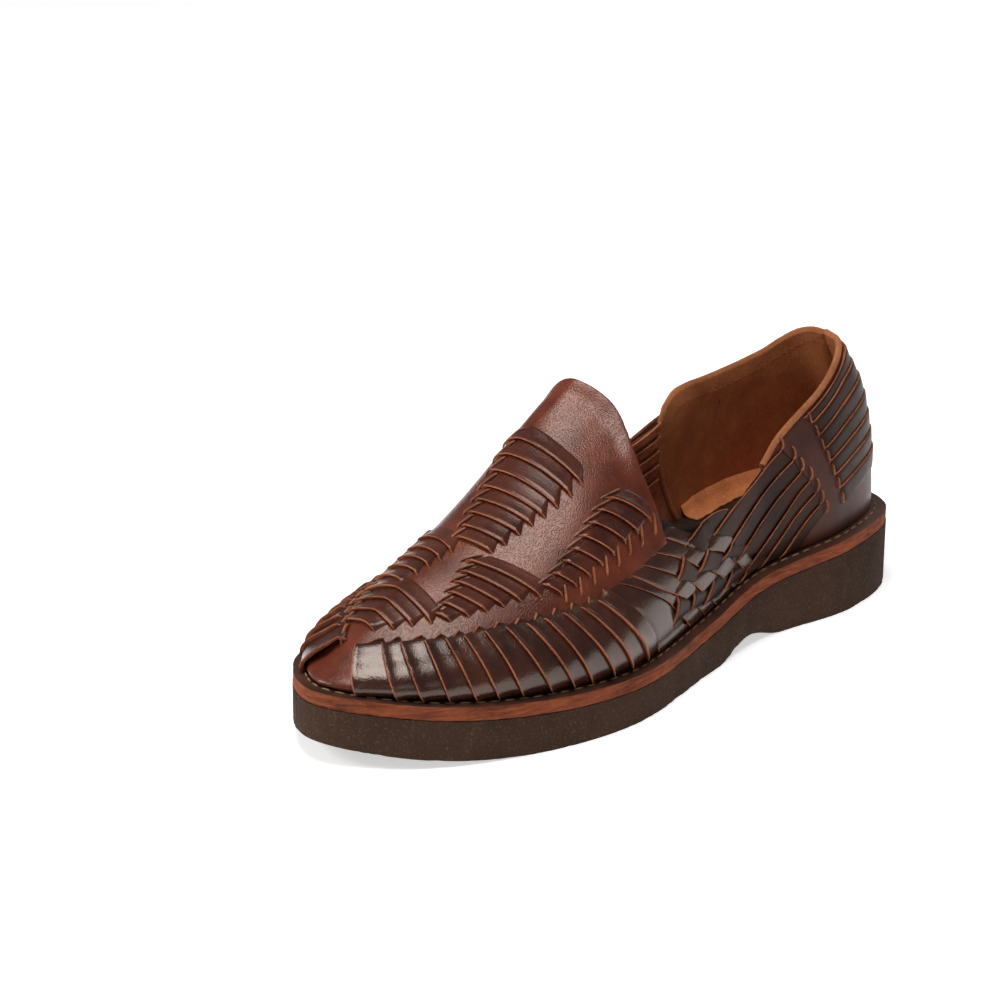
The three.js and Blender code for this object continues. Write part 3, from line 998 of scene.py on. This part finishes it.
def stitches(bm, line, normals, length, pitch, radius, sink=0.3):
    """A row of stitches along a line: short capsules, half sunk."""
    total = float(np.linalg.norm(np.diff(line, axis=0), axis=1).sum())
    count = int(total / pitch)
    at = runner(line)
    up = runner(normals)
    for i in range(count):
        ends = np.array([i + 0.5 - length / pitch / 2, i + 0.5 + length / pitch / 2]) / count
        a, b = at(ends)
        lift = up(np.array([(i + 0.5) / count]))[0]
        lift = lift / np.linalg.norm(lift)
        along = b - a
        size = float(np.linalg.norm(along))
        along = along / size
        sideways = np.cross(lift, along)
        turn = Matrix((sideways, along, lift)).transposed().to_4x4()
        middle = Vector((a + b) / 2 + lift * radius * (1 - sink))
        made = bmesh.ops.create_uvsphere(bm, u_segments=8, v_segments=5, radius=1)["verts"]
        stretch = Matrix.Diagonal((radius * MM, size / 2 * MM, radius * MM, 1))
        shape = Matrix.Translation(middle * MM) @ turn @ stretch
        bmesh.ops.transform(bm, matrix=shape, verts=made)
        for vert in made:
            for face in vert.link_faces:
                face.smooth = True


class HUARACHE_OT_midsole_stitching(bpy.types.Operator):
    """Row of waxed thread round the ledge, beside the upper"""

    bl_idname = "huarache.midsole_stitching"
    bl_label = "Midsole stitching"

    def execute(self, context):
        sizes = context.scene.huarache_sizes
        line = rail(sizes.groove_inset / MM)
        bm = bmesh.new()
        up = np.tile([0.0, 0.0, 1.0], (len(line), 1))
        stitches(bm, line, up, sizes.stitch_length / MM, sizes.stitch_pitch / MM, 0.34, 0.6)
        mesh_object("midsole_stitches", bm, [finish("thread")])
        return {"FINISHED"}


class HUARACHE_OT_insole(bpy.types.Operator):
    """Suede finish of the insole, darkened as painted shade inside the shoe"""

    bl_idname = "huarache.insole"
    bl_label = "Insole"

    def execute(self, context):
        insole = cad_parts["insole"]
        insole.data.materials.clear()
        insole.data.materials.append(finish("insole"))
        return {"FINISHED"}


# ---- The upper ----


HALVINGS = 26


def plate_start(share):
    """Station of the section on which the tongue's edge crosses each share of the plate's width."""
    edge = Column(TONGUE_EDGE, 1)
    found = []
    for q in share:
        low, high = 100.0, 200.0
        loop_of = (lambda s: s) if q >= 0 else (lambda s: LOOP - s)
        for _ in range(HALVINGS):
            middle = (low + high) / 2
            point = last_points(loop_of(middle), 1 - abs(q))
            if LENGTH / 2 - point[1] < edge(point[0]):
                low = middle
            else:
                high = middle
        found.append(low)
    return np.array(found)


def plate_width(station):
    """How far down from the ridge the plate reaches, as one less the rise of its edge."""
    return np.interp(station, [284, 289], [0.7, 1.0])


class HUARACHE_OT_vamp_plate(bpy.types.Operator):
    """Vamp plate: tongue, centre band, side bands and toe cap in one piece"""

    bl_idname = "huarache.vamp_plate"
    bl_label = "Vamp plate"

    def execute(self, context):
        bm = bmesh.new()

        def place(u, v):
            q = v * 2 - 1
            first = plate_start(np.round(q, 6) * plate_width(np.full_like(q, 152.0)))
            station = first + (299.2 - first) * u
            width = plate_width(station)
            rise = 1 - np.abs(q) * width
            loop = np.where(q >= 0, station, LOOP - station)
            places, normals = SKIN.settle(last_points(loop, rise))
            curl = 1.1 * (1 - smoothstep(u / 0.08)) ** 2
            return places + normals * (curl - 0.1)[:, None]

        sheet(bm, 130, 72, place, skin_normal)
        bmesh.ops.remove_doubles(bm, verts=bm.verts, dist=0.2 * MM)
        thickness = context.scene.huarache_sizes.plate_thickness / MM
        leather_piece("vamp_plate", bm, "plate", thickness, 0.3, replaces=("upper",))
        return {"FINISHED"}


def block(bm, lips, edges, cut):
    """A block of straps side by side. The toe-side edge of each stands over the next; both its ends
    are cut off slantwise by the slots they go through."""
    for before, edge in zip(edges, edges[1:]):
        strap(
            bm, edge, part_of(before, *cut), base=0.3, crown=0.25, tilt=1.6, ends=(2.2, 2.4), overlap=0.1,
        )
        start, meeting = edge(np.array([0.0]))[0], before(np.array([cut[0]]))[0]
        lip = [start + (start - meeting) * 0.12, (start + meeting) / 2, meeting]
        ridge(lips, runner(lip), LIP_WIDTH, 1.5)


class HUARACHE_OT_vamp_straps(bpy.types.Operator):
    """Blocks of straps woven through the plate's slots"""

    bl_idname = "huarache.vamp_straps"
    bl_label = "Vamp straps"

    def execute(self, context):
        thickness = context.scene.huarache_sizes.strap_thickness / MM
        # rows, the edge before the first strap, the part of each edge that lies between the slots
        blocks = {
            "instep_straps": (INSTEP_STRAPS, (-26.5, 177.5, 15.4, 174.5), (0.17, 0.88)),
            "outer_band_straps": (OUTER_STRAPS, (19.8, 169.5, 29.4, 155.5), (0.14, 0.93)),
            "front_straps": (FRONT_STRAPS, (-1.5, 225.5, 31.5, 210), (0.16, 0.9)),
            "inner_band_straps": (INNER_STRAPS, (-33, 216.5, -4.2, 225), (0.16, 0.92)),
            "toe_straps": (TOE_STRAPS, (-32, 246.5, 14, 249.5), (0.14, 0.92)),
        }
        lips = bmesh.new()
        for name, (rows, first, cut) in blocks.items():
            bm = bmesh.new()
            edges = [plan_line(row[:2], row[2:]) for row in [first] + rows]
            block(bm, lips, edges, cut)
            leather_piece(name, bm, "strap", thickness)
        # These lips take the pale lip finish: painted highlight along the slots.
        slot_lips("slot_lips", lips, "lip")
        lips = bmesh.new()
        for _, _, across, station in OUTER_STRAPS:
            ridge(lips, plan_line((across + 1.8, station + 0.2), (across - 2.4, station - 2.4)), 1.1, 1.5)
        slot_lips("outer_slot_lips", lips, "edge")
        return {"FINISHED"}


def mirrored_rise(loop, rise):
    """On the inner side the collar stands higher, and the weave is stretched up to it."""
    station = np.asarray(loop, float)
    shifts = np.linspace(-22, 22, 12)
    ratio = np.mean([rim(-station - shift) / rim(station + shift) for shift in shifts], axis=0)
    share = smoothstep((station - 60) / 30) * (1 - smoothstep((station - 150) / 40))
    return np.asarray(rise) * (1 + (ratio - 1) * share)


def side_line(rows, inner):
    """A line through (station, rise) rows on the outer or the inner side."""
    rows = np.asarray(rows, float)
    if not inner:
        return chart_line(rows)
    return chart_line(np.c_[LOOP - rows[:, 0], mirrored_rise(rows[:, 0], rows[:, 1])])


SIDES = (("outer", False), ("inner", True))


def fan_bulge(u, v):
    """How far a side strap stands off the last along its length."""
    over = 0.5 * np.exp(-(((u - 0.12) / 0.1) ** 2))
    middle = 2.5 * np.sin(math.pi * np.clip(u, 0, 1) ** 0.85)
    return over + middle - 0.7 * smoothstep((u - 0.85) / 0.15)


class HUARACHE_OT_side_straps(bpy.types.Operator):
    """Fans of straps looped over the plate's edge and drawn down under the upper, on both sides"""

    bl_idname = "huarache.side_straps"
    bl_label = "Side straps"

    def execute(self, context):
        thickness = context.scene.huarache_sizes.strap_thickness / MM
        for side, inner in SIDES:
            bm = bmesh.new()
            lips = bmesh.new()
            lines = [side_line([(top, rise + 0.012), (foot, 0.0)], inner) for top, rise, foot in FAN]
            for edge, after in zip(lines, lines[1:]):
                strap(
                    bm, part_of(edge, 0.07, 1), after, base=0.1, crown=0.3, tilt=1.9, ends=(2.4, 0.0),
                    runs=(2.4, 1.0), lift=fan_bulge, across=9, curl=4,
                )
                low, top = edge(np.array([0.2]))[0], after(np.array([0.03]))[0]
                ridge(lips, runner([low, (low + top) / 2, top + (top - low) * 0.06]), 1.0, 2.1)
            leather_piece(side + "_side_straps", bm, "side", thickness)
            slot_lips(side + "_fan_lips", lips, "edge")
        return {"FINISHED"}


def weave_place(edges, station, rise):
    """Which strap of a family lies at a point, as a number that runs on through the family."""
    cuts = []
    for edge in edges:
        rows = np.array(edge[::-1], float)
        order = np.argsort(rows[:, 1], kind="stable")
        cuts.append(np.interp(rise, rows[order, 1], rows[order, 0]))
    cuts = np.array(cuts)
    falling = cuts[0].mean() > cuts[-1].mean()
    signed = -cuts if falling else cuts
    signed = np.maximum.accumulate(signed, axis=0) + np.arange(len(edges))[:, None] * 1e-3
    where = -station if falling else station
    return np.array([np.interp(where[i], signed[:, i], np.arange(len(edges))) for i in range(len(rise))])


def chart_runner(rows):
    """A function from a share of a line's length to its loop and rise."""
    rows = np.asarray(rows, float)
    chart = catmull(rows, 10) if len(rows) > 2 else rows
    points = last_points(chart[:, 0], chart[:, 1])
    shares = fractions(points)
    return lambda u: between(u, shares, chart)


def woven(bm, family, other, sign, inner, **shape):
    """Straps of one family, going over and under those of the other."""
    for index, (first, second) in enumerate(zip(family, family[1:])):
        if first[0][0] > second[0][0] + 20:
            second = [row for row in second if row[0] > first[0][0] - 2]
        first_chart, second_chart = chart_runner(first), chart_runner(second)

        def lift(u, v, index=index, first_chart=first_chart, second_chart=second_chart):
            middle = (first_chart(u) + second_chart(u)) / 2
            place = weave_place(other, middle[:, 0], middle[:, 1])
            inside = smoothstep(place / 0.15) * smoothstep((len(other) - 1 - place) / 0.15)
            wave = np.cos(math.pi * (place - 0.5 + index))
            return sign * 0.75 * np.tanh(2.2 * wave) * inside

        lines = side_line(first, inner), side_line(second, inner)
        raised, tucked = lines if sign > 0 else lines[::-1]
        strap(bm, raised, tucked, lift=lift, step=0.8, **shape)


WOVEN_THICKNESS = 1.0


class HUARACHE_OT_waist_weave(bpy.types.Operator):
    """Waist weave and quarter straps, over and under each other, on both sides"""

    bl_idname = "huarache.waist_weave"
    bl_label = "Waist weave and quarter straps"

    def execute(self, context):
        for side, inner in SIDES:
            bm = bmesh.new()
            woven(
                bm, DOWN_TO_HEEL, DOWN_TO_TOE, -1, inner, base=-0.1, crown=0.25, tilt=0.35, ends=(1.6, 0.8),
                runs=(2.0, 2), overlap=-0.06,
            )
            leather_piece(side + "_waist_straps", bm, "side", WOVEN_THICKNESS)
            bm = bmesh.new()
            woven(
                bm, DOWN_TO_TOE, DOWN_TO_HEEL, 1, inner, base=-0.1, crown=0.25, tilt=0.9, ends=(1.8, 0.8),
                runs=(2.2, 2), overlap=-0.04,
            )
            leather_piece(side + "_quarter_straps", bm, "quarter", WOVEN_THICKNESS)
            lips = bmesh.new()
            for station, rise in [edge[0] for edge in DOWN_TO_TOE[1:]]:
                lip = [(station + 1.2, rise - 0.004), (station, rise + 0.014), (station + 0.2, rise + 0.032)]
                ridge(lips, side_line(lip, inner), LIP_WIDTH, 1.4)
            for station, rise, _ in HEEL_STRAPS[1:]:
                lip = [
                    (station - 0.8, rise - 0.004), (station - 0.4, rise + 0.012),
                    (station - 0.3, rise + 0.03),
                ]
                ridge(lips, side_line(lip, inner), 0.8, 1.3)
            slot_lips(side + "_counter_lips", lips, "edge")
        return {"FINISHED"}


BACKING_TOP = 0.62


class HUARACHE_OT_backing(bpy.types.Operator):
    """Dark reinforcement behind the straps"""

    bl_idname = "huarache.backing"
    bl_label = "Backing"

    def execute(self, context):
        bm = bmesh.new()

        def place(u, v):
            loop = 40 + (LOOP - 80) * u
            top = np.minimum(rim(loop) - 0.015, BACKING_TOP)
            station = np.where(loop <= LENGTH, loop, LOOP - loop)
            top = np.where(station < COLLAR_LOOPS[-1], top, BACKING_TOP)
            places, normals = SKIN.settle(last_points(loop, top * v))
            return places - normals * 1.75

        sheet(bm, 260, 20, place, skin_normal)
        leather_piece("strap_backing", bm, "backing", 0.5, 0, "backing")
        return {"FINISHED"}


class HUARACHE_OT_heel_counter(bpy.types.Operator):
    """Smooth counter round the heel's base with an upright band on each side"""

    bl_idname = "huarache.heel_counter"
    bl_label = "Heel counter"

    def execute(self, context):
        bm = bmesh.new()

        def place(u, v):
            front = np.interp(v, [0, 0.25, 0.6, 1], [72, 71, 76, 86])
            loop = (u * 2 - 1) * front
            rise = (rim(loop) - 0.012) * v
            places, normals = SKIN.settle(last_points(loop, rise))
            return places - normals * 0.45

        sheet(bm, 150, 40, place, skin_normal)
        bmesh.ops.remove_doubles(bm, verts=bm.verts, dist=0.02 * MM)
        leather_piece("heel_counter", bm, "counter", 1.2, 0.25)
        return {"FINISHED"}


class HUARACHE_OT_heel_straps(bpy.types.Operator):
    """Stack of straps round the back of the heel, woven into the counter"""

    bl_idname = "huarache.heel_straps"
    bl_label = "Heel straps"

    def execute(self, context):
        bm = bmesh.new()
        lines = []
        above = None
        for station, rise, back in HEEL_STRAPS:
            turn = np.linspace(-1, 1, 41)
            reach = FEATHER[0] + (station - FEATHER[0]) * np.abs(turn) ** 1.8
            loops = -reach * np.sign(turn)
            share = 1 - np.abs(loops) / station
            rises = rise + (back - rise) * (1 - (1 - share) ** 1.5)
            rises = np.where(loops < 0, mirrored_rise(np.abs(loops), rises), rises)
            rises = np.minimum(rises, rim(loops) - 0.018)
            if above:
                rises = np.minimum(rises, np.interp(loops, *above) - 0.03)
            above = loops[::-1], rises[::-1]
            lines.append(runner(last_points(loops, rises)))
        for edge, after in zip(lines, lines[1:]):
            strap(
                bm, edge, after, base=0.1, crown=0.3, tilt=0.8, ends=(2.0, 2.0), runs=(3, 3),
                taper=(0.15, 0.15), across=5,
            )
        leather_piece("heel_straps", bm, "quarter", context.scene.huarache_sizes.strap_thickness / MM)
        return {"FINISHED"}


LINING_OUTER_END = 86.0
LINING_DEPTH = 1.9

# share of the collar's rise, station of the lining's front edge on the inner side
LINING_FRONT = [(0, 80), (0.15, 86), (0.35, 91), (0.55, 94), (0.75, 95.5), (0.9, 95.8), (1, 91.5)]


def lining_front(rise_share):
    """Station of the lining's front edge on the inner side, from its foot up to its corner."""
    return np.interp(rise_share, *zip(*LINING_FRONT))


class HUARACHE_OT_lining(bpy.types.Operator):
    """Suede lining of quarters and heel with its turned edge"""

    bl_idname = "huarache.lining"
    bl_label = "Collar lining"

    def execute(self, context):
        sizes = context.scene.huarache_sizes
        bm = bmesh.new()

        def place(u, v):
            front = lining_front(v)
            loop = -front + (LINING_OUTER_END + front) * u
            rise = rim(loop) * v
            places, normals = SKIN.settle(last_points(loop, rise))
            rumple = rough(places, 14, 0.5, 5.0)
            return places - normals * (LINING_DEPTH + rumple * smoothstep((1 - v) / 0.2))[:, None]

        sheet(bm, 160, 44, place, skin_normal)
        thickness = sizes.lining_thickness / MM
        leather_piece("collar_lining", bm, "suede", thickness, 0, "binding", "suede")
        bm = bmesh.new()

        def foot(u, v):
            loop = -lining_front(0) + (LINING_OUTER_END + lining_front(0)) * u
            edges, normals = SKIN.settle(last_points(loop, np.full_like(loop, 0.12)))
            inward = -normals * [1, 1, 0]
            inward /= np.linalg.norm(inward, axis=1)[:, None]
            ragged = 1 + 0.05 * np.sin(loop * 0.9) * np.sin(loop * 0.37)
            places = edges + inward * (2.6 + 9.5 * v * ragged)[:, None]
            places[:, 2] = sole_top(LENGTH / 2 - places[:, 1]) + 9.8 + 5 * np.clip(1 - v / 0.45, 0, 1) ** 2
            return places

        sheet(bm, 160, 8, foot, lambda point: (0, 0, 1))
        # The lining's foot takes the paler turned-in suede: painted light where light from above falls into
        # the shoe.
        leather_piece("lining_foot", bm, "turned_in", 0.7, 0, "flesh", "suede")
        rise_shares = np.linspace(1, 0.04, 40)
        front_loops = -lining_front(rise_shares)
        top_loops = np.linspace(LINING_OUTER_END, front_loops[0], 190)
        loops = np.r_[top_loops, front_loops[1:]]
        rises = np.r_[rim(top_loops), rim(front_loops[1:]) * rise_shares[1:]]
        line, normals = SKIN.settle(last_points(loops, rises))
        count = len(line)
        along = np.gradient(line, axis=0)
        along /= np.linalg.norm(along, axis=1)[:, None]
        on_front = np.arange(count) >= len(top_loops)
        depth = np.where(on_front, 2.1, 1.35)
        up = np.cross(normals, along)
        up[up[:, 2] < 0] *= -1
        half = sizes.binding_width / MM / 2
        bm = bmesh.new()

        def tube(u, v):
            i = u * (count - 1)
            rows = np.arange(count)
            centre, normal, rising = (between(i, rows, values) for values in (line, normals, up))
            deep = np.interp(i, rows, depth)
            angle = v * 2 * math.pi
            drop = np.where(np.interp(i, rows, on_front) > 0.5, 0, half * 0.45)
            inwards = deep - 1.55 * np.cos(angle) * 0.72
            return centre - normal * inwards[:, None] + rising * (half * np.sin(angle) - drop)[:, None]

        sheet(bm, 230, 14, tube)
        bmesh.ops.remove_doubles(bm, verts=bm.verts, dist=1e-6)
        bmesh.ops.recalc_face_normals(bm, faces=bm.faces)
        mesh_object("turned_edge", bm, [finish("binding")])
        bm = bmesh.new()
        places, outward = SKIN.settle(last_points(top_loops, rim(top_loops) - 0.045))
        stitches(bm, places - outward * 2.75, -outward, 1.7, 2.9, 0.26)
        mesh_object("lining_stitches", bm, [finish("flesh")])
        return {"FINISHED"}


class HUARACHE_OT_strap_backs(bpy.types.Operator):
    """Rough backs of the inner waist straps, seen through the collar"""

    bl_idname = "huarache.strap_backs"
    bl_label = "Strap backs"

    def execute(self, context):
        bm = bmesh.new()
        shares = np.linspace(0.985, 0.36, 6)
        for top, low in zip(shares, shares[1:]):
            loops = np.linspace(-96, -160, 24)
            slope = 0.1 * np.linspace(0, 1, 24)
            upper = runner(last_points(loops, rim(loops) * (top - slope)))
            lower = runner(last_points(loops, rim(loops) * (low + 0.02 - slope)))
            strap(
                bm, upper, lower, base=-2.5, crown=-0.3, tilt=-1.4, ends=(0, 0), overlap=0.0, across=4,
                cut_edge=False,
            )
        # The strap backs take the paler copy of the flesh side: painted light on straps that lie in shade.
        leather_piece("inner_strap_backs", bm, "rough_back_painted_light", 0.7, 0.2, "rough_back_painted_light", "rough_back_painted_light")
        return {"FINISHED"}


# ---- The stage ----

# name, place, what it is aimed at, width and height, power
LIGHTS = (
    ("Overhead softbox", (0.06, -0.23, 1.4), (0.06, -0.2301, 0.05), (0.88, 0.56), 12.5),
    ("Left softbox", (-1.0, -1.2, 0.95), (0, -0.05, 0.05), (0.7, 0.5), 13),
    ("Right softbox", (1.5, -0.7, 0.8), (0, 0, 0.05), (0.8, 0.5), 1.2),
    ("Back softbox", (-0.3, 1.4, 0.9), (0, 0, 0.05), (0.9, 0.6), 3),
)
CAMERA_PLACE = (0.8211, -0.8534, 0.5179)
CAMERA_TURN = (45.988, 20.939, 0.328)  # degrees: round from the toe, up, and tilted to one side
CAMERA_LENS = 116.91

class HUARACHE_OT_stage(bpy.types.Operator):
    """Pale floor, soft lights and the camera"""

    bl_idname = "huarache.stage"
    bl_label = "Stage"

    def execute(self, context):
        scene = context.scene
        bm = bmesh.new()
        bmesh.ops.create_grid(bm, x_segments=1, y_segments=1, size=6)
        mesh = bpy.data.meshes.new("floor")
        bm.to_mesh(mesh)
        bm.free()
        floor = bpy.data.objects.new("floor", mesh)
        scene.collection.objects.link(floor)
        material, _, principled = shader("Pale floor", roughness=0.8, specular=0.2)
        principled.inputs["Base Color"].default_value = (0.93, 0.93, 0.93, 1)
        principled.inputs["Emission Color"].default_value = (1, 1, 1, 1)
        principled.inputs["Emission Strength"].default_value = 0.55
        mesh.materials.append(material)

        world = bpy.data.worlds.new("Studio")
        world.use_nodes = True
        world.node_tree.nodes["Background"].inputs["Color"].default_value = (1, 1, 1, 1)
        world.node_tree.nodes["Background"].inputs["Strength"].default_value = 0.14
        scene.world = world

        for name, place, aim, size, power in LIGHTS:
            light = bpy.data.lights.new(name, "AREA")
            light.shape = "RECTANGLE"
            light.size, light.size_y = size
            light.energy = power
            lamp = bpy.data.objects.new(name, light)
            lamp.location = place
            lamp.rotation_euler = (Vector(aim) - Vector(place)).to_track_quat("-Z", "Y").to_euler()
            scene.collection.objects.link(lamp)

        azimuth, elevation, roll = (math.radians(angle) for angle in CAMERA_TURN)
        level = math.cos(elevation)
        back = Vector((math.sin(azimuth) * level, -math.cos(azimuth) * level, math.sin(elevation)))
        right = Vector((math.cos(azimuth), math.sin(azimuth), 0))
        up = back.cross(right)
        cos, sin = math.cos(roll), math.sin(roll)
        right, up = right * cos + up * sin, up * cos - right * sin
        lens = bpy.data.cameras.new("Camera")
        lens.sensor_fit = "HORIZONTAL"
        lens.sensor_width = 36
        lens.lens = CAMERA_LENS
        lens.clip_start = 0.01
        lens.clip_end = 50
        camera = bpy.data.objects.new("Camera", lens)
        turned = Matrix((right, up, back)).transposed().to_4x4()
        camera.matrix_world = Matrix.Translation(CAMERA_PLACE) @ turned
        scene.collection.objects.link(camera)
        scene.camera = camera
        scene.view_settings.view_transform = "Standard"
        return {"FINISHED"}


class HUARACHE_PT_panel(bpy.types.Panel):
    """Lists the shoe's pieces in the order they are built"""

    bl_idname = "HUARACHE_PT_panel"
    bl_label = "Huarache"
    bl_space_type = "VIEW_3D"
    bl_region_type = "UI"
    bl_category = "Huarache"

    def draw(self, context):
        layout = self.layout
        for group in (context.scene.huarache_sizes, context.scene.huarache_colours):
            for name in group.__annotations__:
                layout.prop(group, name)
        for operator in PIECES:
            layout.operator(operator.bl_idname)


PIECES = (
    HUARACHE_OT_outsole,
    HUARACHE_OT_midsole,
    HUARACHE_OT_midsole_stitching,
    HUARACHE_OT_insole,
    HUARACHE_OT_backing,
    HUARACHE_OT_vamp_plate,
    HUARACHE_OT_vamp_straps,
    HUARACHE_OT_side_straps,
    HUARACHE_OT_waist_weave,
    HUARACHE_OT_heel_counter,
    HUARACHE_OT_heel_straps,
    HUARACHE_OT_lining,
    HUARACHE_OT_strap_backs,
    HUARACHE_OT_stage,
)
CLASSES = (HuaracheSizes, HuaracheColours) + PIECES + (HUARACHE_PT_panel,)


def register():
    for item in CLASSES:
        bpy.utils.register_class(item)
    bpy.types.Scene.huarache_sizes = PointerProperty(type=HuaracheSizes)
    bpy.types.Scene.huarache_colours = PointerProperty(type=HuaracheColours)


def unregister():
    del bpy.types.Scene.huarache_colours
    del bpy.types.Scene.huarache_sizes
    for item in reversed(CLASSES):
        bpy.utils.unregister_class(item)


def main():
    register()
    for operator in PIECES:
        group, name = operator.bl_idname.split(".")
        getattr(getattr(bpy.ops, group), name)()


if __name__ == "__main__":
    main()
